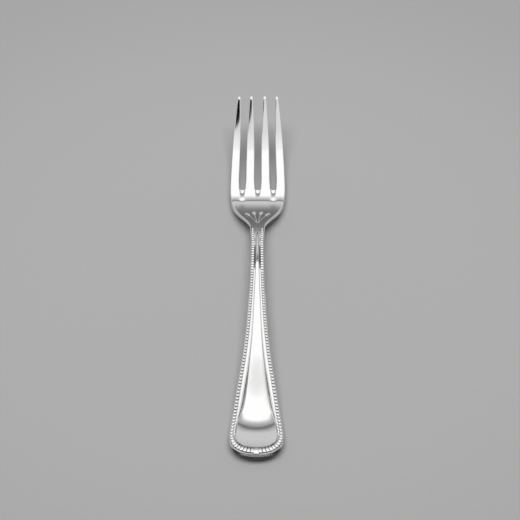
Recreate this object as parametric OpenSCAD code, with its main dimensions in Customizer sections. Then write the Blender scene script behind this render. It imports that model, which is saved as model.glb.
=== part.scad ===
// Child's table fork with a beaded edge: four tines, palm, neck, stem and broad handle.
// +Y runs from the end of the handle to the tips, +X is to the right, and the fork rests on z = 0.

/* [Lengths] */
// Broad handle, from its rounded end to the stem
handle_length = 50; // [44:0.5:58]
// Slim stem between the handle and the neck
stem_length = 31.5; // [26:0.5:38]
// Plain neck between the stem and the palm
neck_length = 4; // [3.25:0.25:5.5]
// Palm, from the neck to the tines
palm_length = 17.5; // [16:0.5:20]
// Tines, from the palm to the tips
tine_length = 37; // [30:0.5:44]
// Rounded end, from the widest place of the handle to its very end
end_length = 6.2; // [5:0.1:7.5]
// Slots between the tines, as far as they run into the palm
slot_depth = 1.2; // [1.1:0.1:2.5]

/* [Widths] */
// Handle at its widest place
handle_width = 13.5; // [11.5:0.1:15.5]
// Handle half way along its taper
taper_width = 8; // [7:0.1:9]
// Handle where it passes into the stem
waist_width = 4.85; // [4.4:0.05:5.5]
// Stem at its narrowest place
stem_width = 3.6; // [3.4:0.05:4.1]
// Neck at its plain stretch
neck_width = 4.3; // [3.9:0.05:5]
// Shoulder of the palm, half way up its slope
shoulder_width = 8.7; // [7.8:0.1:9.8]
// Palm just past its shoulder
corner_width = 14.7; // [13.6:0.1:15.8]
// Palm at the roots of the tines
head_width = 16.5; // [15:0.1:18.5]
// One tine at its root
tine_width = 2.5; // [2.1:0.05:2.9]
// One tine just behind its tip
tip_width = 0.85; // [0.6:0.05:1.2]
// Between the middles of the two outer tips
outer_tip_spread = 11.9; // [10.5:0.1:13.5]
// Between the middles of the two inner tips
inner_tip_spread = 4.25; // [3.6:0.05:4.9]

/* [Heights] */
// Top of the handle above the table, half way up its rise
rise_height = 2.35; // [2.1:0.05:2.8]
// Top of the arched shank above the table
arch_height = 4.75; // [4.2:0.05:5.6]
// Top of the neck above the table
neck_height = 3.35; // [3:0.05:4]
// Top of the tips above the table
tip_height = 9.5; // [7.5:0.1:12]
// Rise of the very end above the lowest place of the handle
end_rise = 0.75; // [0.3:0.05:1]

/* [Thickness] */
// Edge of the handle
handle_edge = 0.95; // [0.8:0.05:1.2]
// Edge of the stem
stem_edge = 1.2; // [0.9:0.05:1.5]
// Edge of the palm's shoulders
shoulder_edge = 0.65; // [0.55:0.05:0.9]
// Edge of the palm
palm_edge = 1.4; // [1.1:0.05:1.7]
// Edge of a tine at its tip
tip_edge = 0.75; // [0.5:0.05:1]
// Swell of the underside below the edges of the handle
handle_swell = 0.75; // [0.5:0.05:1]
// Swell of the underside below the edges of the stem
stem_swell = 1.3; // [0.9:0.05:1.6]
// Swell of the underside below the edges of the shoulders
shoulder_swell = 1.3; // [1:0.05:1.6]
// Swell of the underside below the edges of the palm
palm_swell = 0.6; // [0.4:0.05:0.9]
// Depth by which the two resting places are dressed flat
rest_flat = 0.04; // [0.02:0.01:0.08]
// Bevel along the top edges of the shank
shank_bevel = 0.12; // [0.06:0.02:0.2]
// Bevel along the top edges of the palm
palm_bevel = 0.36; // [0.24:0.02:0.5]
// Bevel along the edges of the tines and round the slot roots
tine_bevel = 0.3; // [0.15:0.05:0.45]

/* [Border] */
// Middle to middle of two beads
bead_pitch = 1.02; // [0.98:0.02:1.3]
// Bead next to the neck, across
stem_bead = 0.8; // [0.6:0.02:0.86]
// Bead at the end of the handle, across
end_bead = 0.94; // [0.7:0.02:0.96]
// Drop in the middle of the end, across
drop_size = 1.1; // [1:0.05:1.3]
// Height of the raised border above the shank
border_height = 0.7; // [0.65:0.05:0.8]
// Border of beads and thread on the stem
stem_border = 1.36; // [1.3:0.02:1.5]
// Border of beads and thread on the handle
handle_border = 1.85; // [1.7:0.05:2.2]
// Height of the thread above the border
thread_height = 0.2; // [0.1:0.02:0.3]
// Groove between the thread and its neighbours
groove = 0.05; // [0.03:0.01:0.08]

/* [Panel] */
// Height of the panel's edges above the border
panel_lift = 0.06; // [0:0.02:0.15]
// Crown of the panel on stem and upper handle
panel_crown = 0.2; // [0.1:0.05:0.4]
// Hollow of the panel close to the end of the handle
panel_dish = 0.5; // [0.3:0.05:0.6]

/* [Rays] */
// Length of the inner rays
inner_ray_length = 5.6; // [4.8:0.1:6.4]
// Length of the outer rays
outer_ray_length = 5; // [4.4:0.1:5.4]
// Sideways reach of the inner rays
inner_ray_reach = 1.2; // [1:0.05:1.4]
// Sideways reach of the outer rays
outer_ray_reach = 3.6; // [3.2:0.05:3.8]
// Bulb at the tip of a ray, across
ray_bulb = 0.95; // [0.7:0.05:1.1]
// Foot of a ray, across
ray_foot = 0.3; // [0.2:0.05:0.4]
// Height of a ray above the palm
ray_height = 0.24; // [0.1:0.02:0.35]
// Gap between the feet of two rays
ray_gap = 0.06; // [0.04:0.01:0.1]

/* [Hidden] */

// Clearance between a piece of relief and the surface that carries it
seat_gap = 0.01;

// Fineness of the curves
bead_facets = 24;
slot_steps = 18;
under_steps = 14;
crown_steps = 12;
side_steps = 70;
end_steps = 12;
row_steps = side_steps + end_steps;
handle_steps = 32;
stem_steps = 20;
neck_steps = 8;
palm_steps = 24;
tine_steps = 18;
tip_steps = 6;

// Section planes along the fork, with the origin midway
total_length = handle_length + stem_length + neck_length + palm_length + tine_length;
y_end = -total_length / 2;
y_wide = y_end + end_length;
y_stem = y_end + handle_length;
y_neck = y_stem + stem_length;
y_palm = y_neck + neck_length;
y_tine = y_palm + palm_length;
y_tip = y_tine + tine_length;

// Places of the profile and of the outline between the section planes
bend_run = 3.5;
heel_run = 10.5;
rise_run = 20;
taper_run = 20;
arch_run = 9;
slim_run = 7.5;
plain_run = 1.5;
shoulder_run = 2.6;
corner_run = 8.5;
sole_run = 12;
dish_run = 6.5;
y_heel = y_end + heel_run;
y_rise = y_end + rise_run;
y_bend = y_wide + bend_run;
y_dish = y_wide + dish_run;
y_taper = y_stem - taper_run;
y_arch = y_stem + arch_run;
y_slim = y_neck - slim_run;
y_plain = y_neck + plain_run;
y_shoulder = y_palm + shoulder_run;
y_corner = y_palm + corner_run;
y_sole = y_palm + sole_run;

// Slopes of the profile and of the outline at those places
end_slope = 0.145;
rise_slope = 0.12;
neck_slope = 0.158;
tip_slope = 0.36;
bend_slope = 0.105;
taper_slope = 0.12;
waist_slope = 0.042;
plain_slope = 0.04;
shoulder_slope = 0.7;
corner_slope = 0.25;

// Section of the metal: roundness of the underside, and what is left of its swell at the two ends
swell_power = 2.2;
end_swell = 0.08;
tip_swell = 0.1;
end_power = 2.3;
end_flat = 0.5;
heel_top = handle_edge + handle_swell - rest_flat;
sole_top = palm_edge + palm_swell - rest_flat;
slot_width = (head_width - 4 * tine_width) / 3;

// Smooth curve through stations of [place, value, slope]
function station(st, y, i = 0) = i >= len(st) - 2 || y <= st[i + 1][0] ? i : station(st, y, i + 1);
function blend(a, b, h, t) =
    (2 * t^3 - 3 * t^2 + 1) * a[1] + (t^3 - 2 * t^2 + t) * h * a[2]
    + (3 * t^2 - 2 * t^3) * b[1] + (t^3 - t^2) * h * b[2];
function curve(st, y) =
    let (i = station(st, y), h = st[i + 1][0] - st[i][0])
    blend(st[i], st[i + 1], h, (y - st[i][0]) / h);

// Height of the top surface along the middle
top_line = [
    [y_end, heel_top + end_rise, -end_slope],
    [y_heel, heel_top, 0],
    [y_rise, rise_height, rise_slope],
    [y_arch, arch_height, 0],
    [y_palm, neck_height, -neck_slope],
    [y_sole, sole_top, 0],
    [y_tip, tip_height, tip_slope]];
function top_z(y) = curve(top_line, y);
function top_tilt(y) = atan((top_z(y + 0.05) - top_z(y - 0.05)) / 0.1);

// Half of the outline's width, with a superelliptic end
side_line = [
    [y_wide, handle_width / 2, 0],
    [y_bend, handle_width / 2 - 0.75 * bend_slope * bend_run, -bend_slope],
    [y_taper, taper_width / 2, -taper_slope],
    [y_stem, waist_width / 2, -waist_slope],
    [y_slim, stem_width / 2, 0],
    [y_plain, neck_width / 2, plain_slope],
    [y_shoulder, shoulder_width / 2, shoulder_slope],
    [y_corner, corner_width / 2, corner_slope],
    [y_tine, head_width / 2, 0]];
function end_round(y) = pow(1 - pow(min(1, (y_wide - y) / end_length), end_power), 1 / end_power);
function half_width(y) =
    y < y_wide ? max(end_flat, handle_width / 2 * end_round(y)) :
    y > y_tine ? head_width / 2 : curve(side_line, y);

// Thickness of the edge, and swell of the underside below it
edge_line = [
    [y_end, handle_edge, 0],
    [y_wide, handle_edge, 0],
    [y_slim, stem_edge, 0],
    [y_shoulder, shoulder_edge, 0],
    [y_sole, palm_edge, 0],
    [y_tip, tip_edge, 0]];
swell_line = [
    [y_wide, handle_swell, 0],
    [y_slim, stem_swell, 0],
    [y_shoulder, shoulder_swell, 0],
    [y_sole, palm_swell, 0],
    [y_tip, tip_swell, 0]];
function swell(y) =
    y < y_wide ? handle_swell - (handle_swell - end_swell) * ((y_wide - y) / end_length)^2 :
    curve(swell_line, y);
function under_z(x, y) =
    let (across = min(1, abs(x) / half_width(y)))
    max(0, top_z(y) - curve(edge_line, y) - swell(y) * (1 - pow(across, swell_power)));

// Bevel along the top edges of neck and palm
bevel_line = [
    [y_neck, shank_bevel, 0],
    [y_shoulder, palm_bevel, 0],
    [y_tine, tine_bevel, 0]];

// Even steps from a to b, and steps that close up towards the very end
function steps(a, b, n) = [for (i = [0 : n]) a + (b - a) * i / n];
function closing(wide, reach, n) = [for (i = [n : -1 : 1]) wide - reach * sin(90 * i / n)];

// Solid through rings that all have the same number of points
module loft(rings) {
    n = len(rings[0]);
    last = len(rings) - 1;
    points = [for (ring = rings) each ring];
    sides = [for (j = [0 : last - 1], i = [0 : n - 1])
        let (a = j * n + i, b = j * n + (i + 1) % n)
        each [[a, b + n, b], [a, a + n, b + n]]];
    start = [for (i = [0 : n - 1]) i];
    finish = [for (i = [n - 1 : -1 : 0]) last * n + i];
    polyhedron(points, concat([start, finish], sides));
}

// Sections of the fork: the plain head, and the shank below its raised border
function under_points(y) =
    let (w = half_width(y))
    [for (i = [0 : under_steps])
        let (x = w * cos(180 * i / under_steps))
        [x, y, under_z(x, y)]];
function head_ring(y) =
    let (w = half_width(y), b = curve(bevel_line, y), z = top_z(y))
    concat(
        [[-w, y, z - b / 2], [b - w, y, z], [w - b, y, z], [w, y, z - b / 2]],
        under_points(y));
function shank_ring(y) =
    let (w = half_width(y), z = top_z(y) - border_height)
    concat([[-w, y, z], [w, y, z]], under_points(y));

// Right-hand edge from the neck to the middle of the end, moved inwards by an inset
function side_edge(y, inset) =
    let (slope = (half_width(y + 0.05) - half_width(y - 0.05)) / 0.1, n = norm([1, slope]))
    [half_width(y) - inset / n, y + inset * slope / n];
function end_edge(a, inset) =
    let (
        x = pow(cos(a), 2 / end_power),
        y = pow(sin(a), 2 / end_power),
        out = [pow(x, end_power - 1) / handle_width * 2, pow(y, end_power - 1) / end_length],
        n = out / norm(out))
    [x * handle_width / 2 - inset * n[0], y_wide - y * end_length + inset * n[1]];
function inset_at(i, near, far) = near + (far - near) * min(1, i / side_steps);
function edge_path(near, far) = concat(
    [for (i = [0 : side_steps - 1])
        side_edge(y_neck + (y_wide - y_neck) * i / side_steps, inset_at(i, near, far))],
    [for (i = [0 : end_steps]) end_edge(90 * i / end_steps, far)]);
function both_sides(path) = concat(
    path,
    [for (i = [len(path) - 2 : -1 : 0]) [-path[i][0], path[i][1]]]);

// Raised border along both edges and round the end
rim_path = edge_path(0, 0);
bevel_path = edge_path(shank_bevel, shank_bevel);
inner_path = edge_path(stem_border, handle_border);
function on_top(p, z) = [p[0], p[1], top_z(p[1]) + z];
function border_ring(rim, bevel, inner) = [
    on_top(rim, seat_gap - border_height), on_top(rim, -shank_bevel / 2), on_top(bevel, 0),
    on_top(inner, 0), on_top(inner, seat_gap - border_height)];

// Centre panel inside the border: a ridge on the stem, dished at the end of the handle
dish_edge = 0.05;
dish_slope = 0.08;
crown_slope = 0.03;
crown_fade = 0.05;
crown_line = [
    [y_end + handle_border, -dish_edge, -dish_slope],
    [y_dish, -panel_dish, 0],
    [y_taper, panel_crown / 2, crown_slope],
    [y_stem, panel_crown, 0],
    [y_slim, panel_crown, 0],
    [y_neck, crown_fade, 0]];
function panel_ring(p) =
    let (w = p[0] - groove, y = p[1], z = top_z(y), crown = curve(crown_line, y))
    concat(
        [[w, y, z - border_height + seat_gap], [-w, y, z - border_height + seat_gap]],
        [for (i = [0 : crown_steps])
            let (x = -w * cos(180 * i / crown_steps))
            [x, y, z + panel_lift + crown * (1 - (x / w)^2)]]);

// Distance along a path, and the point at a distance
function gaps(path) = [for (i = [1 : len(path) - 1]) norm(path[i] - path[i - 1])];
function running(list) =
    [for (i = 0, s = 0; i <= len(list); s = s + (i < len(list) ? list[i] : 0), i = i + 1) s];
function spot(path, run, s, i = 0) =
    i < len(path) - 2 && run[i + 1] < s ? spot(path, run, s, i + 1) :
    path[i] + (path[i + 1] - path[i]) * (s - run[i]) / (run[i + 1] - run[i]);

// Beads at an even pitch, with the drop in the middle of the end
bead_path = edge_path(stem_bead / 2 + shank_bevel, end_bead / 2 + shank_bevel);
bead_run = running(gaps(bead_path));
bead_reach = bead_run[len(bead_run) - 1] - (drop_size + end_bead) / 2 - groove;
bead_count = floor(bead_reach / bead_pitch);
bead_spots = [for (i = [0 : bead_count]) spot(bead_path, bead_run, bead_reach * i / bead_count)];
function bead_size(i) = stem_bead + (end_bead - stem_bead) * i / bead_count;
module dome(place, size) {
    translate([place[0], place[1], top_z(place[1]) + seat_gap])
        rotate([top_tilt(place[1]), 0, 0])
            intersection() {
                sphere(d = size, $fn = bead_facets);
                translate([-size / 2, -size / 2, 0])
                    cube([size, size, size / 2]);
            }
}
module beads(side, from, to) {
    for (i = [0 : bead_count])
        if (bead_spots[i][1] > from && bead_spots[i][1] <= to)
            dome([side * bead_spots[i][0], bead_spots[i][1]], bead_size(i));
}

// Half-round strip that lies on the top surface along a path
function strip_ring(path, i, width, height) =
    let (
        ahead = path[min(i + 1, len(path) - 1)],
        behind = path[max(i - 1, 0)],
        along = (ahead - behind) / norm(ahead - behind),
        side = [-along[1], along[0]])
    [for (k = [0 : 6]) on_top(path[i] + side * cos(30 * k) * width / 2, seat_gap + height * sin(30 * k))];
module strip(path, widths, heights) {
    loft([for (i = [0 : len(path) - 1]) strip_ring(path, i, widths[i], heights[i])]);
}

// Thread between the beads and the panel
stem_thread = stem_border - stem_bead - shank_bevel - 2 * groove;
end_thread = handle_border - end_bead - shank_bevel - 2 * groove;
thread_path = both_sides(
    edge_path(stem_border - groove - stem_thread / 2, handle_border - groove - end_thread / 2));
thread_widths = [for (i = [0 : 2 * row_steps])
    inset_at(min(i, 2 * row_steps - i), stem_thread, end_thread)];

// Rays, from feet side by side on the palm out to round bulbs
ray_places = concat(steps(0, 0.75, 5), steps(0.8, 1, 8));
ray_step = ray_foot + ray_gap;
outer_ray_bow = 1.28;
function ray_width(s, length) =
    let (r = ray_bulb / 2, past = s - length + r, stalk = ray_foot + (r - ray_foot) * s / length)
    max(past > 0 ? ray_foot / 2 : stalk, 2 * sqrt(max(0, r^2 - past^2)));
module ray(foot, reach, length, bow) {
    path = [for (t = ray_places) [foot + (reach - foot) * pow(t, bow), y_palm + ray_foot + length * t]];
    run = running(gaps(path));
    widths = [for (s = run) ray_width(s, run[len(run) - 1])];
    strip(path, widths, [for (w = widths) ray_height * sqrt(w / ray_bulb)]);
}
module inner_ray(side) {
    ray(side * ray_step / 2, side * inner_ray_reach, inner_ray_length, 1);
}
module outer_ray(side) {
    ray(side * ray_step * 3 / 2, side * outer_ray_reach, outer_ray_length, outer_ray_bow);
}

// Tine, from its root in the palm to a rounded tip
tip_round = tip_width * 0.6;
tine_places = concat(
    steps(y_tine, y_tip - tip_round, tine_steps),
    [for (i = [1 : tip_steps]) y_tip - tip_round + tip_round * sin(90 * i / tip_steps)]);
function tip_close(y) =
    let (t = max(0, (y - y_tip + tip_round) / tip_round))
    max(0.3, sqrt(max(0, 1 - t^2)));
function tine_ring(y, root, tip) =
    let (
        u = (y - y_tine) / tine_length,
        middle = root + (tip - root) * u^1.5,
        w = (tip_width + (tine_width - tip_width) * (1 - u^3)) / 2 * tip_close(y),
        core = (top_z(y) + under_z(middle, y)) / 2,
        high = core + (top_z(y) - core) * tip_close(y),
        b = min(tine_bevel, 0.45 * w),
        low = [for (x = [middle - w, middle - w + b, middle + w - b, middle + w])
            core + (under_z(abs(x), y) - core) * tip_close(y)])
    [[middle - w, y, high - b / 2], [middle - w + b, y, high],
        [middle + w - b, y, high], [middle + w, y, high - b / 2],
        [middle + w, y, low[3] + b / 2], [middle + w - b, y, low[2]],
        [middle - w + b, y, low[1]], [middle - w, y, low[0] + b / 2]];
module tine(root, tip) {
    loft([for (y = tine_places) tine_ring(y, root, tip)]);
}
outer_root = (head_width - tine_width) / 2;
inner_root = (slot_width + tine_width) / 2;

// Slot between two tines, with a round bevelled root
y_root = y_tine - slot_depth + slot_width / 2;
root_top = top_z(y_root);
slot_margin = 0.3;
function slot_ring(x, grow, z) =
    let (r = slot_width / 2 + grow)
    concat(
        [for (a = steps(180, 360, slot_steps)) [x + r * cos(a), y_root + r * sin(a), z]],
        [[x + r, y_tine + slot_margin, z], [x - r, y_tine + slot_margin, z]]);
module slot_cut(x) {
    loft([slot_ring(x, 0, -slot_margin), slot_ring(x, 0, root_top - tine_bevel / 2),
        slot_ring(x, tine_bevel + 2 * slot_margin, root_top + slot_margin)]);
}

module handle() {
    color("silver")
        loft([for (y = concat(closing(y_wide, end_length, end_steps), steps(y_wide, y_stem, handle_steps)))
            shank_ring(y)]);
}
module stem() {
    color("silver")
        loft([for (y = steps(y_stem, y_neck, stem_steps)) shank_ring(y)]);
}
module neck() {
    color("silver")
        loft([for (y = steps(y_neck, y_palm, neck_steps)) head_ring(y)]);
}
module palm() {
    color("silver")
        difference() {
            loft([for (y = steps(y_palm, y_tine, palm_steps)) head_ring(y)]);
            for (x = [-1, 0, 1] * (slot_width + tine_width))
                slot_cut(x);
        }
}
module border() {
    rim = both_sides(rim_path);
    bevel = both_sides(bevel_path);
    inner = both_sides(inner_path);
    color("silver")
        loft([for (i = [0 : len(rim) - 1]) border_ring(rim[i], bevel[i], inner[i])]);
}
module tine_outer_left() {
    color("silver")
        tine(-outer_root, -outer_tip_spread / 2);
}
module tine_inner_left() {
    color("silver")
        tine(-inner_root, -inner_tip_spread / 2);
}
module tine_inner_right() {
    color("silver")
        tine(inner_root, inner_tip_spread / 2);
}
module tine_outer_right() {
    color("silver")
        tine(outer_root, outer_tip_spread / 2);
}
module centre_panel() {
    color("gainsboro")
        loft([for (i = [row_steps - 1 : -1 : 0]) panel_ring(inner_path[i])]);
}
module thread() {
    color("gainsboro")
        strip(thread_path, thread_widths, [for (w = thread_widths) thread_height * w / end_thread]);
}
module bead_row_left() {
    color("whitesmoke")
        beads(-1, y_wide, y_neck);
}
module bead_row_right() {
    color("whitesmoke")
        beads(1, y_wide, y_neck);
}
module bead_row_end() {
    color("whitesmoke") {
        beads(-1, y_end, y_wide);
        beads(1, y_end, y_wide);
    }
}
module end_drop() {
    color("whitesmoke")
        dome([0, y_end + drop_size / 2 + shank_bevel], drop_size);
}
module ray_outer_left() {
    color("whitesmoke")
        outer_ray(-1);
}
module ray_inner_left() {
    color("whitesmoke")
        inner_ray(-1);
}
module ray_inner_right() {
    color("whitesmoke")
        inner_ray(1);
}
module ray_outer_right() {
    color("whitesmoke")
        outer_ray(1);
}

handle();
stem();
neck();
palm();
border();
tine_outer_left();
tine_inner_left();
tine_inner_right();
tine_outer_right();
centre_panel();
thread();
bead_row_left();
bead_row_right();
bead_row_end();
end_drop();
ray_outer_left();
ray_inner_left();
ray_inner_right();
ray_outer_right();
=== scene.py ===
import bpy
import math
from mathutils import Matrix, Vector


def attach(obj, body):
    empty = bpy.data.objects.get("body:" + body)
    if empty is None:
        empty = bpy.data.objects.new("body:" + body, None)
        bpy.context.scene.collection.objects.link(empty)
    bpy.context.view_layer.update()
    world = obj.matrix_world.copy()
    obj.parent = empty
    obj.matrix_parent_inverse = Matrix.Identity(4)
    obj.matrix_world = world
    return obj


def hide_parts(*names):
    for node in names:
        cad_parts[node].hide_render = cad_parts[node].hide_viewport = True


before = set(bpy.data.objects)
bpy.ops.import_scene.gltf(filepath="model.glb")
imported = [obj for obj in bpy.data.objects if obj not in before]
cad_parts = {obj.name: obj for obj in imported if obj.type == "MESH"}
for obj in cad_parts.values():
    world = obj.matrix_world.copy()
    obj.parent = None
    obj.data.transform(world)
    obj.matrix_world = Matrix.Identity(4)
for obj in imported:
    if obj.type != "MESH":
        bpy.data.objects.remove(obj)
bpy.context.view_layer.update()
mm = 0.001  # lengths of the fork are in millimetres below
weld = 0.002  # points closer than this become one


# camera at the photograph's angle, above the end of the handle
cameraView = {"place": (1.37, -272.0, 251.0), "tilt": 47.61, "turn": 0.13, "lens": 90.0, "sensor": 36.0,
              "nearest": 10.0}
cameraData = bpy.data.cameras.new("studioCamera")
cameraData.lens = cameraView["lens"]
cameraData.sensor_width = cameraView["sensor"]
cameraData.clip_start = cameraView["nearest"] * mm
studioCamera = bpy.data.objects.new("studioCamera", cameraData)
studioCamera.location = Vector(cameraView["place"]) * mm
studioCamera.rotation_euler = (math.radians(cameraView["tilt"]), 0, math.radians(cameraView["turn"]))
bpy.context.collection.objects.link(studioCamera)
bpy.context.scene.camera = studioCamera
bpy.context.scene.view_settings.view_transform = "Standard"
print("camera set")


# a socket that takes part in sums, and adds its own nodes
class Shade:
    def __init__(self, tree, socket=None):
        self.tree = tree
        self.socket = socket

    def add(self, kind, settings, inputs, output=0):
        node = self.tree.nodes.new(kind)
        for name, value in settings.items():
            if name == "stops":  # of a colour ramp, as place and grey
                while len(node.color_ramp.elements) < len(value):
                    node.color_ramp.elements.new(1.0)
                for element, (place, grey) in zip(node.color_ramp.elements, value):
                    element.position = place
                    element.color = (grey, grey, grey, 1)
            else:
                setattr(node, name, value)
        for name, value in inputs.items():
            if isinstance(value, Shade):
                self.tree.links.new(value.socket, node.inputs[name])
            else:
                node.inputs[name].default_value = value
        return Shade(self.tree, node.outputs[output] if node.outputs else None)

    def math(self, operation, *values):
        return self.add("ShaderNodeMath", {"operation": operation}, dict(enumerate(values)))

    def __add__(self, other):
        return self.math("ADD", self, other)

    def __radd__(self, other):
        return self.math("ADD", other, self)

    def __sub__(self, other):
        return self.math("SUBTRACT", self, other)

    def __rsub__(self, other):
        return self.math("SUBTRACT", other, self)

    def __mul__(self, other):
        return self.math("MULTIPLY", self, other)

    def __rmul__(self, other):
        return self.math("MULTIPLY", other, self)

    def __truediv__(self, other):
        return self.math("DIVIDE", self, other)

    def between(self, low, high):  # 0 below low, 1 above high
        return self.add("ShaderNodeMapRange", {"interpolation_type": "SMOOTHSTEP"},
                        {"Value": self, "From Min": low, "From Max": high})

    def part(self, axis):  # X, Y or Z of a vector
        return self.add("ShaderNodeSeparateXYZ", {}, {"Vector": self}, axis)

    def grey(self):
        return self.add("ShaderNodeCombineColor", {}, {"Red": self, "Green": self, "Blue": self})

    def mix(self, first, second):  # of two colours: the first at 0, the second at 1
        return self.add("ShaderNodeMix", {"data_type": "RGBA"}, {"Factor": self, 6: first, 7: second}, 2)


def blend(pair, share):
    return pair[0] + (pair[1] - pair[0]) * share


# the studio round the fork: a bright wall beyond the tines, in bands by height over the far horizon
studioLight = {
    "bands": [(0, 0.9), (10, 0.85), (13, 0.25), (18, 0.14), (23, 0.155), (26, 0.19), (29, 0.32), (32, 0.5),
              (34.5, 0.6), (37.8, 0.62), (38.25, 0.08), (38.65, 0.08), (39, 0.36), (39.9, 0.42), (40.6, 0.56),
              (41.3, 0.8), (42, 1.05), (62.5, 1.05), (67, 0.86), (70, 0.74), (76.5, 0.7), (79, 0.1),
              (90, 0.03), (138, 0.05), (150, 0.3), (180, 0.3)],
    "wallMiddle": -0.06, "wallEdge": (0.24, 0.6),  # where the bright wall ends to either side, as tangent
    "leastLevel": 0.0001,  # keeps that tangent finite
    "sideGreys": (0.02, 0.42), "sideFade": (0.05, 0.5),  # beside the wall, near and far
    "nearGlow": 0.26, "nearFade": (0.4, 0.7),  # low light behind the camera
    "flagLow": (71.8, 72.1), "flagHigh": (83.0, 87.0), "flagSlant": 16.0,  # black card up to the left
    "flagEdge": (-0.012, 0.004), "flagSide": (-0.3, -0.2),
    "key": {"height": 75.0, "turn": 6.0, "away": 2.2, "size": (3.0, 1.1), "power": 42.0},
    "fill": {"height": 35.0, "turn": 170.0, "away": 1.0, "size": (1.6, 0.5), "power": 0.5},
}
world = bpy.data.worlds.new("studio")
bpy.context.scene.world = world
world.use_nodes = True
world.node_tree.nodes.clear()
sky = Shade(world.node_tree)
direction = sky.add("ShaderNodeTexCoord", {}, {}, "Generated")
sideways, onward, upward = [direction.part(axis) for axis in "XYZ"]
turn = sky.math("ARCTAN2", upward, onward) / math.pi  # 0 at the far horizon, a half overhead
bandStops = [(angle / 180, grey) for angle, grey in studioLight["bands"]]
bands = sky.add("ShaderNodeValToRGB", {"stops": bandStops}, {"Fac": turn})
lateral = sideways / sky.math("SQRT", onward * onward + upward * upward + studioLight["leastLevel"])
outside = sky.math("ABSOLUTE", lateral - studioLight["wallMiddle"]).between(*studioLight["wallEdge"])
farther = onward.between(*studioLight["sideFade"])
nearer = (0 - onward).between(*studioLight["nearFade"])
sideGrey = blend(studioLight["sideGreys"], farther) + nearer * studioLight["nearGlow"]
glow = outside.mix(bands, sideGrey.grey())
height = turn * 180  # in degrees
slanted = height - lateral * studioLight["flagSlant"]
flagged = (1 - lateral.between(*studioLight["flagEdge"])) * slanted.between(*studioLight["flagLow"])
flagged = flagged * lateral.between(*studioLight["flagSide"]) * (1 - height.between(*studioLight["flagHigh"]))
background = sky.add("ShaderNodeBackground", {}, {"Color": flagged.mix(glow, (0, 0, 0, 1)), "Strength": 1.0})
sky.add("ShaderNodeOutputWorld", {}, {"Surface": background})


# lamps: the key light overhead isn't mirrored, the fill behind the camera only shows in the silver
def areaLamp(name, lamp):
    height, turned = math.radians(lamp["height"]), math.radians(lamp["turn"])
    level = math.cos(height)
    way = Vector((-math.sin(turned) * level, math.cos(turned) * level, math.sin(height)))
    bpy.ops.object.select_all(action="DESELECT")
    bpy.ops.object.light_add(type="AREA", location=way * lamp["away"])
    made = bpy.context.object
    made.name = name
    made.data.shape = "RECTANGLE"
    made.data.size, made.data.size_y = lamp["size"]
    made.data.energy = lamp["power"]
    made.rotation_euler = way.to_track_quat("Z", "Y").to_euler()
    return made


areaLamp("keyLamp", studioLight["key"]).visible_glossy = False
areaLamp("fillLamp", studioLight["fill"]).visible_diffuse = False
print("studio light set")


def newMaterial(name):  # an empty one, and a shade that adds its nodes
    made = bpy.data.materials.new(name)
    made.use_nodes = True
    made.node_tree.nodes.clear()
    return made, Shade(made.node_tree)


# pale grey table top, in metres; its grey darkens away from the middle as painted shade
tableTop = {"size": 8.0, "grey": 0.482, "grain": 900.0, "grainDetail": 2.0, "mottle": 0.04, "dim": 0.14,
            "dimming": (0.05, 0.2), "roughness": 0.9, "gloss": 0.1}
bpy.ops.object.select_all(action="DESELECT")
bpy.ops.mesh.primitive_plane_add(size=tableTop["size"], location=(0, 0, 0))
table = bpy.context.object
table.name = "tableTop"
tableFinish, paint = newMaterial("tableGrey")
tableSpot = paint.add("ShaderNodeTexCoord", {}, {}, "Object")
tableGrain = paint.add("ShaderNodeTexNoise", {}, {"Vector": tableSpot, "Scale": tableTop["grain"],
                                                  "Detail": tableTop["grainDetail"]}, "Fac")
tableReach = paint.add("ShaderNodeVectorMath", {"operation": "LENGTH"}, {0: tableSpot}, "Value")
# painted shade: a painted pool of light round the fork, fading with distance from the middle
tablePaintedFalloff = 1 - tableTop["dim"] * tableReach.between(*tableTop["dimming"])
tableMottle = 1 - tableTop["mottle"] / 2 + tableTop["mottle"] * tableGrain
tableShade = tableTop["grey"] * tableMottle * tablePaintedFalloff
tableSurface = paint.add("ShaderNodeBsdfPrincipled", {},
                         {"Base Color": tableShade.grey(), "Roughness": tableTop["roughness"],
                          "Specular IOR Level": tableTop["gloss"]})
paint.add("ShaderNodeOutputMaterial", {}, {"Surface": tableSurface})
table.data.materials.append(tableFinish)
print("table top laid")


# silver: mirror polish with fine scratches along the fork, darker on steep faces and in the recesses with
# painted shade over a little old polish and tarnish
silver = {"tint": (0.945, 0.945, 0.94, 1), "dull": (0.42, 0.42, 0.41, 1), "dark": (0.16, 0.16, 0.155, 1),
          "grain": 700.0, "grainDetail": 3.0, "patch": (0.5, 0.8), "patchStain": 0.05, "patchRough": 0.015,
          "scratch": (9000.0, 500.0, 9000.0), "scratchDetail": 2.0, "worn": (0.45, 0.75), "wear": 0.03,
          "scratchBump": 0.012, "scratchDepth": 0.05, "steep": (0.1, 0.8), "recess": 0.8}


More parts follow.
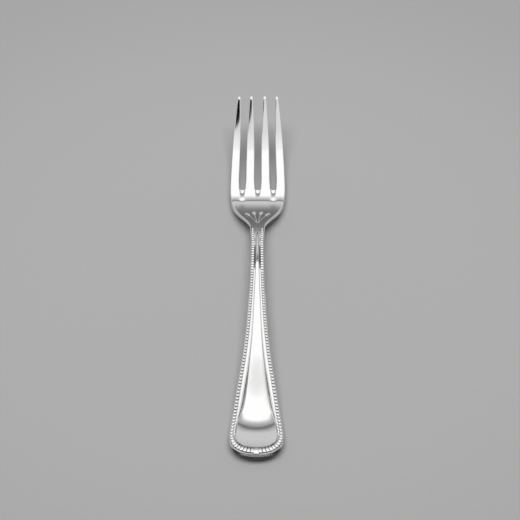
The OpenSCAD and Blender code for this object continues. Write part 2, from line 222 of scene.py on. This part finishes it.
def silverFinish(name, roughness, tarnishAndShade):
    finish, metal = newMaterial(name)
    spot = metal.add("ShaderNodeTexCoord", {}, {}, "Object")
    patches = metal.add("ShaderNodeTexNoise", {}, {"Vector": spot, "Scale": silver["grain"],
                                                   "Detail": silver["grainDetail"]}, "Fac")
    stretched = metal.add("ShaderNodeMapping", {}, {"Vector": spot, "Scale": silver["scratch"]})
    scratches = metal.add("ShaderNodeTexNoise", {}, {"Vector": stretched, "Scale": 1.0,
                                                     "Detail": silver["scratchDetail"]}, "Fac")
    facing = metal.add("ShaderNodeTexCoord", {}, {}, "Normal").part("Z")
    # painted shade: steep faces turn towards the shaded tint, over a little real tarnish
    steep = 1 - facing.between(*silver["steep"])
    stainAndShade = steep * tarnishAndShade + patches.between(*silver["patch"]) * silver["patchStain"]
    # recesses turn towards the dark grey: old polish deepened as painted shade
    recess = metal.add("ShaderNodeAttribute", {"attribute_name": "recess"}, {}, "Fac")
    color = (recess * silver["recess"]).mix(stainAndShade.mix(silver["tint"], silver["dull"]), silver["dark"])
    rough = roughness + silver["wear"] * scratches.between(*silver["worn"]) + silver["patchRough"] * patches
    bump = metal.add("ShaderNodeBump", {}, {"Height": scratches, "Strength": silver["scratchBump"],
                                            "Distance": silver["scratchDepth"] * mm})
    surface = metal.add("ShaderNodeBsdfPrincipled", {},
                        {"Base Color": color, "Metallic": 1.0, "Roughness": rough, "Normal": bump})
    metal.add("ShaderNodeOutputMaterial", {}, {"Surface": surface})
    return finish


polishedSilver = silverFinish("polishedSilver", roughness=0.03, tarnishAndShade=0.05)
reliefSilver = silverFinish("reliefSilver", roughness=0.07, tarnishAndShade=0.4)
raySilver = silverFinish("raySilver", roughness=0.34, tarnishAndShade=0.3)
print("silver mixed")


# lines of the fork as stations of place along it, value and slope
forkLine = {
    "wide": -63.8, "endLength": 6.2, "endPower": 2.3, "waist": 4.0, "tineRoot": 33.0, "tip": 70.0,
    "top": [(-70, 2.41, -0.145), (-59.5, 1.66, 0), (-50, 2.35, 0.12), (-25, 4.27, 0.05), (-11, 4.575, 0.026),
            (-5, 4.72, 0.02), (-2.2, 4.725, -0.026), (15.5, 3.35, -0.158), (27.5, 1.96, 0),
            (31, 2.03, 0.042), (40, 2.5, 0.08), (50, 4.11, 0.255), (57, 6.07, 0.307), (70, 10.25, 0.335)],
    "side": [(-63.8, 6.75, 0), (-60.3, 6.474, -0.105), (-40, 4.0, -0.12), (-20, 2.43, -0.042), (4, 1.78, 0),
             (13, 2.15, 0.04), (18.1, 4.5, 0.7), (24, 7.42, 0.25), (33, 8.25, 0)],
    "edge": [(-70, 1.05, 0), (-63.8, 1.0, 0), (-52, 1.25, 0), (4, 1.2, 0), (18.1, 0.65, 0), (27.5, 1.4, 0),
             (70, 0.75, 0)],
    "swell": [(-63.8, 0.75, 0), (4, 1.3, 0), (18.1, 1.3, 0), (27.5, 0.6, 0), (70, 0.1, 0)],
    "endSwell": 0.67, "swellPower": 2.2, "leastHalf": 0.01, "broadening": (-62.0, 12.0), "slopeStep": 0.05,
    "bevel": [(4, 0.12, 0), (9.5, 0.35, 0), (18.1, 0.5, 0), (33, 0.2, 0), (70, 0.2, 0)],
}


def along(stations, y):
    last = len(stations) - 2
    i = 0
    while i < last and y > stations[i + 1][0]:
        i += 1
    (y0, a, slopeA), (y1, b, slopeB) = stations[i], stations[i + 1]
    run = y1 - y0
    t = min(1.0, max(0.0, (y - y0) / run))
    return ((2 * t**3 - 3 * t**2 + 1) * a + (t**3 - 2 * t**2 + t) * run * slopeA
            + (3 * t**2 - 2 * t**3) * b + (t**3 - t**2) * run * slopeB)


def ease(low, high, value):
    t = min(1.0, max(0.0, (value - low) / (high - low)))
    return t * t * (3 - 2 * t)


def rounding(distance, reach, depth):  # fall of a rounded edge, at a distance in from it
    return depth * max(0.0, 1 - distance / reach) ** 2


def topZ(y):
    return along(forkLine["top"], y)


def topSlope(y):
    step = forkLine["slopeStep"]
    return (topZ(y + step) - topZ(y - step)) / (2 * step)


def roundEnd(turned, half, wide, length):  # on a rounded end, from its middle at 0 to its side at 1
    power = 2 / forkLine["endPower"]
    angle = math.radians(90 * turned)
    return half * math.sin(angle) ** power, wide - length * max(0.0, math.cos(angle)) ** power


def halfWidth(y):
    if y < forkLine["wide"]:
        part = min(1.0, (forkLine["wide"] - y) / forkLine["endLength"])
        return forkLine["side"][0][1] * (1 - part**forkLine["endPower"]) ** (1 / forkLine["endPower"])
    return along(forkLine["side"], min(y, forkLine["tineRoot"]))


def shankHalf(y):  # the bead border runs straight on where the neck flares
    return halfWidth(min(y, forkLine["waist"]))


def underZ(x, y):
    swell = along(forkLine["swell"], max(y, forkLine["wide"]))
    if y < forkLine["wide"]:
        swell -= forkLine["endSwell"] * ((forkLine["wide"] - y) / forkLine["endLength"]) ** 2
    across = min(1.0, abs(x) / max(halfWidth(y), forkLine["leastHalf"]))
    return max(0.0, topZ(y) - along(forkLine["edge"], y) - swell * (1 - across ** forkLine["swellPower"]))


def handleShare(y):  # 0 at the neck, 1 at the broad end
    return 1 - ease(*forkLine["broadening"], y)


def shapedGrid(name, columns, rows, place, recess=None):
    bpy.ops.object.select_all(action="DESELECT")
    bpy.ops.mesh.primitive_grid_add(x_subdivisions=columns, y_subdivisions=rows, size=2)
    piece = bpy.context.object
    piece.name = name
    if recess:
        depths = piece.data.attributes.new("recess", "FLOAT", "POINT").data
    for vertex in piece.data.vertices:
        i = round((vertex.co.x + 1) / 2 * columns)
        j = round((vertex.co.y + 1) / 2 * rows)
        vertex.co = Vector(place(i, j)) * mm
        if recess:
            depths[vertex.index].value = recess(i, j)
    return piece


def cutAway(piece, unwanted):
    bpy.ops.object.mode_set(mode="EDIT")
    bpy.ops.mesh.select_mode(type="FACE")
    bpy.ops.mesh.select_all(action="DESELECT")
    bpy.ops.object.mode_set(mode="OBJECT")
    for face in piece.data.polygons:
        face.select = unwanted(face)
    bpy.ops.object.mode_set(mode="EDIT")
    bpy.ops.mesh.delete(type="FACE")
    bpy.ops.object.mode_set(mode="OBJECT")


def giveThickness(piece, lower):  # lower gives the place under a spot of the top
    bpy.ops.object.mode_set(mode="EDIT")
    bpy.ops.mesh.select_mode(type="VERT")
    bpy.ops.mesh.select_all(action="SELECT")
    bpy.ops.mesh.extrude_region_move(TRANSFORM_OT_translate={"value": (0, 0, 0)})
    bpy.ops.object.mode_set(mode="OBJECT")
    for vertex in piece.data.vertices:
        if vertex.select:
            vertex.co = Vector(lower(vertex.co / mm)) * mm


def finishPiece(piece, finish, nodes, angle):  # edges sharper than the angle stay sharp
    bpy.ops.object.select_all(action="DESELECT")
    piece.select_set(True)
    bpy.context.view_layer.objects.active = piece
    bpy.ops.object.mode_set(mode="EDIT")
    bpy.ops.mesh.select_all(action="SELECT")
    bpy.ops.mesh.remove_doubles(threshold=weld * mm)
    bpy.ops.mesh.normals_make_consistent(inside=False)
    bpy.ops.object.mode_set(mode="OBJECT")
    bpy.ops.object.shade_smooth_by_angle(angle=math.radians(angle))
    piece.data.materials.append(finish)
    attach(piece, "root")
    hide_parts(*nodes)
    print(piece.name, "finished with", len(piece.data.polygons), "faces")


# smooth panel, a ridge on the stem and a crowned dish on the handle: its middle and the fall to its sides
panel = {
    "columns": 48, "bunch": 0.6, "gap": 0.02, "lift": 0.02, "roll": 0.08, "leastRoll": 0.02, "rollDepth": 0.1,
    "neck": 12.4, "sinkFrom": 9.0, "sink": 0.12, "thin": 0.08, "deep": 0.5,
    "middle": [(-68, 0.07, -0.053), (-63, -0.236, -0.069), (-58.2, -0.627, -0.095), (-54, -0.958, -0.05),
               (-50, -1.01, 0.021), (-44, -0.658, 0.081), (-40, -0.313, 0.088), (-36, -0.011, 0.06),
               (-30, 0.17, 0), (-18, 0.08, -0.004), (12.4, 0.04, 0)],
    "crown": [(-68, 0.04, 0.006), (-58.3, 0.1, 0.012), (-56.2, 0.167, 0.055), (-54, 0.31, 0.07),
              (-51.5, 0.39, 0), (-46, 0.34, -0.015), (-34, 0.15, -0.012), (-24, 0.07, -0.004),
              (12.4, 0.04, 0)],
}


# raised border that carries beads and thread, wider round the end
border = {
    "width": [(-63.8, 1.5, 0), (-60, 1.52, 0.02), (-51, 1.9, 0.02), (-42, 1.95, 0), (-18, 1.5, -0.012),
              (4, 1.42, 0)],
    "innerEnd": -67.3, "innerWide": -63.0, "innerFade": -52.0, "endPeak": 0.7,
    "bead": [(-63.8, 1.06, 0), (-58, 0.98, -0.02), (-50, 0.84, -0.005), (-20, 0.74, -0.003),
             (3, 0.66, -0.012), (11, 0.4, -0.03)],
    "endBead": 0.95, "edge": (0.2, 0.14), "endEdge": 0.34,  # width of the beads, and how far in they begin
    "skirt": [(0.28, -0.92), (0.09, -0.55), (0.02, -0.32)],  # outer side from below
    "roll": [(0, -0.16), (0.014, -0.1), (0.04, -0.07)], "rim": 0.05, "bevel": (0.02, 0.03),
    "channel": (0.12, 0.04), "endChannel": 0.05, "endFall": 0.16, "wall": 0.06, "ledge": (0.03, 0.04),
    "shelf": 0.06, "endShelf": 0.1, "bareShelf": 0.18, "bareHollow": 0.1,
    "grooveLip": 0.02, "grooveDepth": (0.03, 0.06), "inner": 0.3, "depth": 0.72, "cover": 0.1, "thin": 0.02,
    "lift": 0.015, "fade": (8.0, 10.4), "sink": (11.8, 12.6), "sinkDepth": 0.06,
    "bare": (-6.0, -3.0, 0.0, 10.0),
    "beadBed": (8, 9, 10), "floor": (11, 12, 13), "grooveBed": 14,  # points of the section
    # painted shade in the recesses: where it grows along the stem, and its share on the handle and in the
    # groove
    "darkening": (-8.0, -2.0), "handleDark": 0.25, "grooveDark": 0.6,
}


def sideWidth(y):
    return along(border["width"], y)


def innerShift(y):  # how far the border's inner edge lies behind its outer edge
    return (border["innerWide"] - forkLine["wide"]) * (1 - ease(forkLine["wide"], border["innerFade"], y))


def panelHalf(y):  # to the border's inner edge, straight on past the round end
    outer = max(forkLine["wide"], y - innerShift(y))
    return shankHalf(outer) - sideWidth(outer)


def panelZ(x, y):
    t = min(1.0, abs(x) / panelHalf(y))
    return topZ(y) + panel["lift"] + along(panel["middle"], y) - along(panel["crown"], y) * t * t


# the blank: tines, palm, neck and the core of the shank in one skin
blank = {
    "tineAcross": (-1, -0.95, -0.86, -0.7, -0.36, 0, 0.36, 0.7, 0.86, 0.95, 1),
    "slotAcross": (-0.95, -0.8, -0.55, -0.28, 0, 0.28, 0.55, 0.8, 0.95),
    "endRows": 25, "shankRows": 61, "shankStep": 1.2, "palmRows": 66, "tineRows": 60, "tipRows": 8,
    "tipTurn": 11.2,
    "roots": (-7.0, -2.3333, 2.3333, 7.0), "tips": (-5.95, -2.125, 2.125, 5.95), "spread": 1.5,
    "tineWidth": 2.5, "tipWidth": 0.85, "taper": 3, "tineCrown": 0.01, "crownRun": 12.0,
    "tineBow": 0.12, "bowStop": 8.0, "tipRound": 1.5, "tipDrop": 0.28, "edgeRound": (0.16, 0.08),
    "slack": 0.01,
    "slotRoot": 32.1, "rootHalf": 0.9, "filletRun": 4.5, "bendRun": 7.0,
    "gougeRun": 2.9, "gougeHalf": (0.35, 0.85), "gougePower": 6,
    "gouge": [(0, 0, 0.06), (0.5, 0.05, 0.12), (1.4, 0.17, 0.1), (1.7, 0.18, -0.02), (2.9, 0.14, -0.04)],
    "dent": [(22.5, 0, 0), (26.4, 0.045, 0), (28.6, 0, 0)], "dentHalf": 0.8,
    "core": 0.7, "coreFade": (7.4, 10.4), "coreFlare": 2.5, "coreEdge": (-0.12, -0.02),
    "inset": 0.28, "leastWidth": 0.4, "panelReach": 1.04, "panelClear": 0.12, "least": 0.3,
}
slotHalf = (blank["roots"][1] - blank["roots"][0] - blank["tineWidth"]) / 2
slotMiddles = [(a + b) / 2 for a, b in zip(blank["roots"], blank["roots"][1:])]
slotCentre = blank["slotRoot"] + blank["rootHalf"]
tipStart = forkLine["tip"] - blank["tipRound"]
blankColumns = []  # kind, number of the tine or slot, place across it
for number in range(len(blank["roots"])):
    blankColumns += [("tine", number, t) for t in blank["tineAcross"]]
    if number < len(slotMiddles):
        blankColumns += [("slot", number, t) for t in blank["slotAcross"]]
endSize = (forkLine["side"][0][1], forkLine["wide"], forkLine["endLength"])
blankRows = [roundEnd(k / blank["endRows"], *endSize)[1] for k in range(blank["endRows"])]
blankRows += [forkLine["wide"] + blank["shankStep"] * k for k in range(1, blank["shankRows"] + 1)]


def addRows(count, stop):
    start = blankRows[-1]
    blankRows.extend([start + (stop - start) * k / count for k in range(1, count + 1)])


addRows(blank["palmRows"], slotCentre)
rootRow = len(blankRows) - 1
addRows(blank["tineRows"], tipStart)
tipTurns = [math.radians(blank["tipTurn"] * k) for k in range(1, blank["tipRows"] + 1)]
blankRows += [tipStart + blank["tipRound"] * math.sin(turned) for turned in tipTurns]


def tineEdges(number, y):  # middle and half width of a tine
    u = min(1.0, max(0.0, (y - forkLine["tineRoot"]) / (forkLine["tip"] - forkLine["tineRoot"])))
    middle = blend((blank["roots"][number], blank["tips"][number]), u ** blank["spread"])
    half = blend((blank["tipWidth"], blank["tineWidth"]), 1 - u ** blank["taper"]) / 2
    if y > tipStart:
        half *= math.sqrt(max(0.0, 1 - ((y - tipStart) / blank["tipRound"]) ** 2))
    fillet = (slotHalf - blank["rootHalf"]) * (1 - ease(slotCentre, slotCentre + blank["filletRun"], y))
    if number in (0, 3):  # an outer tine is wider at its root on one side only
        middle -= math.copysign(fillet / 2, middle)
        fillet /= 2
    return middle, half + fillet


def coreShare(x, y):  # 1 under the border and the panel, 0 where the blank itself shows
    flare = ease(forkLine["waist"], forkLine["waist"] + blank["coreFlare"], y)
    beside = ease(*blank["coreEdge"], abs(x) - shankHalf(y))
    return (1 - ease(*blank["coreFade"], y)) * (1 - flare * beside)


def placeOnBlank(i, j):
    kind, number, t = blankColumns[i]
    y = blankRows[j]
    width = halfWidth(y)
    scale = width / forkLine["side"][-1][1]
    if kind == "tine":
        middle, half = tineEdges(number, y)
        x = (middle + half * t) * scale
    else:
        x = (slotMiddles[number] + blank["rootHalf"] * t) * scale
        if j <= rootRow:  # rows bend round the root of the slot
            bend = ease(slotCentre - blank["bendRun"], slotCentre, y) ** 2
            y -= bend * blank["rootHalf"] * math.sqrt(max(0.0, 1 - t * t))
    core = coreShare(x, y)
    x *= 1 - core * blank["inset"] / max(width, blank["leastWidth"])
    z = topZ(y) - edgeDrop(x, y, width)
    if y < forkLine["wide"]:
        y += (forkLine["wide"] - y) * blank["inset"] / forkLine["endLength"]
    hollow = blank["core"]
    if core and abs(x) < blank["panelReach"] * panelHalf(y):
        hollow = max(hollow, topZ(y) - panelZ(x, y) + blank["panelClear"])
    return x, y, z - core * hollow


def tineDrop(x, y, drop):
    for number in range(len(blank["roots"])):
        middle, half = tineEdges(number, y)
        inside = half - abs(x - middle)
        if inside > -blank["slack"]:
            inside = max(0.0, inside)
            crown = blank["tineCrown"] * ease(slotCentre, slotCentre + blank["crownRun"], y)
            edge = rounding(inside, min(blank["edgeRound"][0], half), blank["edgeRound"][1])
            drop = max(drop, edge) + crown * (1 - inside / max(half, blank["slack"])) ** 2
    return drop


def palmDrop(x, y, drop):
    for middle in slotMiddles:
        if middle:  # shallow dents behind the outer slots
            drop += along(blank["dent"], y) * math.exp(-((x - middle) / blank["dentHalf"]) ** 2)
        away = math.hypot(x - middle, y - slotCentre) - blank["rootHalf"]
        drop = max(drop, rounding(max(0.0, away), *blank["edgeRound"]))
        run = y - (blank["slotRoot"] - blank["gougeRun"])  # gouge that runs out in the palm
        if run > 0:
            half = blend(blank["gougeHalf"], min(1.0, run / blank["gougeRun"]))
            depth = along(blank["gouge"], run) + max(0.0, run - blank["gougeRun"]) * blank["gouge"][-1][2]
            drop = max(drop, depth * max(0.0, 1 - ((x - middle) / half) ** blank["gougePower"]))
    return drop


def edgeDrop(x, y, width):  # how far the skin falls towards its edges
    reach = along(forkLine["bevel"], y)
    drop = rounding(width - abs(x), reach, reach / 2) if y < forkLine["tineRoot"] else 0.0
    if y >= slotCentre:
        drop = tineDrop(x, y, drop)
    elif y > blank["dent"][0][0]:
        drop = palmDrop(x, y, drop)
    bow = blank["tineBow"] * ease(slotCentre, forkLine["tip"] - blank["bowStop"], y)
    drop += bow * (x / blank["tips"][3]) ** 2
    if y > tipStart:
        drop += blank["tipDrop"] * ((y - tipStart) / blank["tipRound"]) ** 2
    return drop


def belowBlank(spot):
    return spot.x, spot.y, min(underZ(spot.x, spot.y), topZ(spot.y) - blank["least"])


def inSlot(face):  # grid faces are numbered row by row
    row, column = divmod(face.index, len(blankColumns) - 1)
    return row >= rootRow and "slot" in (blankColumns[column][0], blankColumns[column + 1][0])


forkBlank = shapedGrid("forkBlank", len(blankColumns) - 1, len(blankRows) - 1, placeOnBlank)
cutAway(forkBlank, inSlot)
giveThickness(forkBlank, belowBlank)
finishPiece(forkBlank, polishedSilver,
            ["handle", "stem", "neck", "palm", "tine_outer_left", "tine_inner_left", "tine_inner_right",
             "tine_outer_right"], angle=30.0)


# path round the edge of the shank, from the left of the neck round the end to the right of the neck
edgePath = {"neck": 12.6, "sideSteps": 220, "endSteps": 40}


def edgePoint(k):  # k counts from the middle of the end, positive on the right
    steps = abs(k)
    if steps <= edgePath["endSteps"]:
        x, y = roundEnd(steps / edgePath["endSteps"], *endSize)
    else:
        part = (steps - edgePath["endSteps"]) / edgePath["sideSteps"]
        y = forkLine["wide"] + (edgePath["neck"] - forkLine["wide"]) * part
        x = shankHalf(y)
    return (x if k >= 0 else -x), y


def innerPoint(k):  # on the inner edge of the border
    steps = abs(k)
    if steps <= edgePath["endSteps"]:
        wide = border["innerWide"]
        x, y = roundEnd(steps / edgePath["endSteps"], panelHalf(wide), wide, wide - border["innerEnd"])
    else:
        outer = edgePoint(steps)[1]
        x, y = shankHalf(outer) - sideWidth(outer), outer + innerShift(outer)
    return (x if k >= 0 else -x), y


pathEnds = edgePath["sideSteps"] + edgePath["endSteps"]
pathSpots = {k: Vector(edgePoint(k)) for k in range(-pathEnds, pathEnds + 1)}
pathInner = {k: Vector(innerPoint(k)) for k in pathSpots}
pathWidth = {k: (pathInner[k] - pathSpots[k]).length for k in pathSpots}
pathInward = {k: (pathInner[k] - pathSpots[k]).normalized() for k in pathSpots}
pathRun = {-pathEnds: 0.0}
for k in range(-pathEnds + 1, pathEnds + 1):
    pathRun[k] = pathRun[k - 1] + (pathSpots[k] - pathSpots[k - 1]).length


thread = {"columns": 10, "gap": 0.04, "height": 0.09, "faded": 0.3, "endRise": 0.1, "endWidth": 0.22,
          "narrowing": (-61.5, -57), "groove": 0.14, "squareness": 6, "sink": 0.1, "bareSink": 0.32,
          "deep": 0.6}


def endShare(y):  # 0 along the sides, 1 in the middle of the end
    return max(0.0, (forkLine["wide"] - y) / forkLine["endLength"]) ** border["endPeak"]


def beadAcross(y):
    return along(border["bead"], y) + border["endBead"] * endShare(y)


def beadEdge(y):  # how far in from the edge the beads begin
    side = blend(border["edge"], handleShare(y))
    return blend((side, border["endEdge"]), endShare(y))


def bareShare(y):  # 1 where the ridge of the stem has no thread beside it
    start, full, fading, end = border["bare"]
    return ease(start, full, y) * (1 - ease(fading, end, y))


def borderSection(y, width):  # distance in from the edge, height over the top line
    edge = beadEdge(y)
    bead = edge + beadAcross(y)
    groove = width - thread["groove"]
    end, bare = endShare(y), bareShare(y)
    left = 1 - ease(*border["fade"], y)  # of the relief, which fades out at the neck
    rim = -border["rim"] * left
    low = -(blend(border["channel"], handleShare(y)) + border["endChannel"] * end) * left
    fall = border["endFall"] * end
    shelf = -(border["shelf"] + border["endShelf"] * end) * left - border["bareShelf"] * bare
    hollow = border["grooveDepth"][0] + border["grooveDepth"][1] * max(bare, end)
    deep = max(border["depth"], border["cover"] + topZ(y) - panelZ(panelHalf(y), y))
    section = border["skirt"] + [(inset, rim + height) for inset, height in border["roll"]]
    section += [(edge / 2 + border["bevel"][0], rim - border["bevel"][1]), (edge, rim)]
    section += [(edge + border["wall"], low), ((bead + edge) / 2, low - fall / 2)]
    section += [(bead - border["ledge"][0], low - fall), (bead + border["ledge"][1], shelf)]
    section += [((bead + groove) / 2, shelf - border["bareHollow"] * bare)]
    section += [(groove - border["grooveLip"], shelf)]
    section += [((groove + width) / 2, shelf - hollow * left), (width, shelf + border["grooveLip"] * left)]
    return section + [(width, -border["inner"]), (width, -deep)]


def placeOnBorder(i, j):
    k = j - pathEnds
    spot, inward = pathSpots[k], pathInward[k]
    inset, height = borderSection(spot.y, pathWidth[k])[i]
    flat = spot + inward * inset
    sunk = border["sinkDepth"] * ease(*border["sink"], spot.y)
    return flat.x, flat.y, topZ(flat.y) + height + border["lift"] - sunk


# painted shade over some old polish: the bead bed, the floor beside the bare ridge and the inner groove grow
# dark
def borderRecess(i, j):  # under the beads, and beside the ridge of the stem
    y = pathSpots[j - pathEnds].y
    full = max(ease(*border["darkening"], y) * (1 - ease(*border["fade"], y)), endShare(y))
    if i in border["beadBed"]:
        return border["handleDark"] * (1 - full) * (y < 0) + full
    if i in border["floor"]:
        return bareShare(y)
    return border["grooveDark"] * full * (i == border["grooveBed"])


def belowBorder(spot):
    return spot.x, spot.y, min(topZ(spot.y) + border["skirt"][0][1], spot.z - border["thin"])


sectionPoints = len(borderSection(0.0, sideWidth(0.0)))
borderStrip = shapedGrid("borderStrip", sectionPoints - 1, 2 * pathEnds, placeOnBorder, borderRecess)
giveThickness(borderStrip, belowBorder)
finishPiece(borderStrip, polishedSilver, ["border"], angle=60.0)


# plain thread inside the beads, a flat band that narrows to a line round the end
def placeOnThread(i, j):
    k = j - pathEnds
    spot, inward = pathSpots[k], pathInward[k]
    stop = pathWidth[k] - thread["groove"]
    start = beadEdge(spot.y) + beadAcross(spot.y) + thread["gap"]
    start += max(0.0, stop - thread["endWidth"] - start) * (1 - ease(*thread["narrowing"], spot.y))
    t = math.sin((2 * i / thread["columns"] - 1) * math.pi / 2)
    left = 1 - ease(*border["fade"], spot.y)
    flat = spot + inward * ((start + stop) / 2 + t * (stop - start) / 2)
    high = thread["height"] * blend((thread["faded"], 1), left) + thread["endRise"] * endShare(spot.y)
    rise = high * math.sqrt(max(0.0, 1 - t ** thread["squareness"]))
    bare = bareShare(spot.y)
    low = border["shelf"] * left + thread["sink"] * ease(*border["sink"], spot.y) + thread["bareSink"] * bare
    return flat.x, flat.y, topZ(flat.y) + border["lift"] + rise * (1 - bare) - low


threadStrip = shapedGrid("threadStrip", thread["columns"], 2 * pathEnds, placeOnThread)
giveThickness(threadStrip, lambda spot: (spot.x, spot.y, topZ(spot.y) - thread["deep"]))
finishPiece(threadStrip, reliefSilver, ["thread"], angle=60.0)


# rows of the panel follow the inside of the border
panelRows = []  # half width, place along the fork
for k in range(pathEnds + 1):
    spot = pathInner[k] + pathInward[k] * panel["gap"]
    if spot.y < panel["neck"]:
        panelRows.append((max(spot.x, panel["gap"]), spot.y))


def placeOnPanel(i, j):
    half, y = panelRows[j]
    s = 2 * i / panel["columns"] - 1
    t = blend((s, math.sin(s * math.pi / 2)), panel["bunch"])  # closer columns near the edges
    reach = min(panel["roll"], half / 2 + panel["leastRoll"])
    rolled = rounding(half * (1 - abs(t)), reach, panel["rollDepth"])
    sunk = panel["sink"] * ease(panel["sinkFrom"], panel["neck"], y)
    return half * t, y, panelZ(half * t, y) - rolled - sunk


def belowPanel(spot):
    return spot.x, spot.y, min(spot.z - panel["thin"], topZ(spot.y) - panel["deep"])


centrePanel = shapedGrid("centrePanel", panel["columns"], len(panelRows) - 1, placeOnPanel)
giveThickness(centrePanel, belowPanel)
finishPiece(centrePanel, polishedSilver, ["centre_panel"], angle=60.0)


# beads along the edge, copies of one bead that is rounder on the stem and closer to a block on the handle
beads = {"pitch": 1.025, "first": 0.1, "spare": 0.7, "change": (-8.0, 0.0), "cuts": 2,
         "roundness": (0.35, 0.22), "fill": (0.8, 0.98), "endFill": 0.24, "endTaper": 0.35,
         "height": (0.27, 0.11), "endHeight": 0.03, "sink": 0.08, "lean": (0.097, 0.0025)}


def pathAt(run):  # spot, inward direction at a length along the edge
    low, high = -pathEnds, pathEnds
    while high - low > 1:
        middle = (low + high) // 2
        if pathRun[middle] <= run:
            low = middle
        else:
            high = middle
    t = (run - pathRun[low]) / (pathRun[high] - pathRun[low])
    return pathSpots[low].lerp(pathSpots[high], t), pathInward[low].lerp(pathInward[high], t).normalized()


def beadModel(name, roundness):
    bpy.ops.object.select_all(action="DESELECT")
    bpy.ops.mesh.primitive_cube_add(size=mm)
    model = bpy.context.object
    model.name = name
    bpy.ops.object.mode_set(mode="EDIT")
    bpy.ops.mesh.select_all(action="SELECT")
    bpy.ops.mesh.subdivide(number_cuts=beads["cuts"])
    bpy.ops.transform.tosphere(value=roundness)
    bpy.ops.object.mode_set(mode="OBJECT")
    reach = max(vertex.co.z for vertex in model.data.vertices)
    return model, [vertex.co / reach / 2 for vertex in model.data.vertices]


roundBead, roundShape = beadModel("roundBead", beads["roundness"][0])
blockBead, blockShape = beadModel("blockBead", beads["roundness"][1])


def setBead(run, long, wide, high, inset):  # a copy of the bead with its place in its mesh
    spot, inward = pathAt(run)
    centre = spot + inward * (inset + wide / 2)
    onward = Vector((inward.y, -inward.x))
    lean = beads["lean"][0] + beads["lean"][1] * centre.y  # enough to catch the light
    tilt = max(lean, topSlope(centre.y))
    base = topZ(centre.y) - beads["sink"]
    onStem = ease(*beads["change"], centre.y)
    copy = roundBead.copy()
    copy.data = roundBead.data.copy()
    bpy.context.collection.objects.link(copy)
    taper = beads["endTaper"] * endShare(centre.y)
    for vertex, asRound, asBlock in zip(copy.data.vertices, roundShape, blockShape):
        p = asBlock.lerp(asRound, onStem)
        flat = onward * (p.x * long * (1 - taper * p.y)) + inward * (p.y * wide)
        rise = p.z * 2 * high + tilt * flat.y
        vertex.co = Vector((centre.x + flat.x, centre.y + flat.y, base + rise)) * mm
    return copy


def joinRow(name, copies, node):
    bpy.ops.object.select_all(action="DESELECT")
    for copy in copies:
        copy.select_set(True)
    bpy.context.view_layer.objects.active = copies[0]
    bpy.ops.object.join()
    row = bpy.context.object
    row.name = name
    finishPiece(row, reliefSilver, [node], angle=70.0)


def beadSizes(y):  # length along the row, width, height
    onHandle = 1 - ease(*beads["change"], y)
    fill = blend(beads["fill"], onHandle) - beads["endFill"] * endShare(y)
    high = blend(beads["height"], onHandle) + beads["endHeight"] * endShare(y)
    return beads["pitch"] * fill, beadAcross(y), high


middleRun = pathRun[0]
endRun = pathRun[edgePath["endSteps"]] - middleRun
lastRun = pathRun[pathEnds] - middleRun - beads["spare"]
leftBeads, rightBeads, endBeads = [], [], []
count = 1
while count * beads["pitch"] < lastRun:
    away = count * beads["pitch"] + beads["first"]
    for side, rowBeads in ((-1, leftBeads), (1, rightBeads)):
        run = middleRun + side * away
        y = pathAt(run)[0].y
        bead = setBead(run, *beadSizes(y), beadEdge(y))
        (endBeads if away < endRun else rowBeads).append(bead)
    count += 1
joinRow("beadRowLeft", leftBeads, "bead_row_left")
joinRow("beadRowRight", rightBeads, "bead_row_right")
joinRow("beadRowEnd", endBeads, "bead_row_end")

# larger drop in the middle of the end
dropSize = {"long": 1.25, "wide": 2.1, "high": 0.3, "inset": 0.2}
endDrop = setBead(middleRun, **dropSize)
joinRow("endDrop", [endDrop], "end_drop")
bpy.data.objects.remove(roundBead)
bpy.data.objects.remove(blockBead)


# fan of rays on the palm, each with its foot, its reach to the side, its length and its curl
rays = {"start": 15.0, "columns": 8, "rows": 36, "stem": (0.1, 0.15), "stemHeight": 0.1, "bulb": (0.62, 1.0),
        "height": 0.32, "fadeIn": 0.15, "sink": 0.02, "deep": 0.15, "step": 0.02,
        "fan": {"ray_outer_left": (-0.3, -3.65, 5.7, 1.5), "ray_inner_left": (-0.1, -1.25, 6.6, 1.25),
                "ray_inner_right": (0.1, 1.25, 6.6, 1.25), "ray_outer_right": (0.3, 3.65, 5.7, 1.5)}}


def makeRay(node, foot, reach, length, curl):
    rayLong = math.hypot(reach, length)
    bulbHalf, bulbLong = rays["bulb"]

    def spotAt(t):
        return Vector((blend((foot, reach), t**curl), rays["start"] + length * t))

    def placeOnRay(i, j):
        t = math.sin(math.pi / 2 * j / rays["rows"])  # closer rows at the tip
        onward = spotAt(min(1.0, t + rays["step"])) - spotAt(max(0.0, t - rays["step"]))
        onward.normalize()
        off = abs((1 - t) * rayLong / bulbLong - 1)  # distance from the middle of the bulb
        swelling = math.sqrt(max(0.0, 1 - off * off))
        onStem = t * rayLong < rayLong - bulbLong
        half = max(bulbHalf * swelling, blend(rays["stem"], t) if onStem else 0.0)
        rise = max(rays["height"] * swelling, rays["stemHeight"] if onStem else 0.0)
        s = 2 * i / rays["columns"] - 1
        rise *= math.sqrt(max(0.0, 1 - s * s)) * ease(0.0, rays["fadeIn"], t)
        flat = spotAt(t) + Vector((onward.y, -onward.x)) * (s * half)
        return flat.x, flat.y, topZ(flat.y) - rays["sink"] + rise

    name = "".join(word.title() for word in node.split("_")[1:])
    ray = shapedGrid("ray" + name, rays["columns"], rays["rows"], placeOnRay)
    giveThickness(ray, lambda spot: (spot.x, spot.y, topZ(spot.y) - rays["deep"]))
    finishPiece(ray, raySilver, [node], angle=70.0)


for node, shape in rays["fan"].items():
    makeRay(node, *shape)
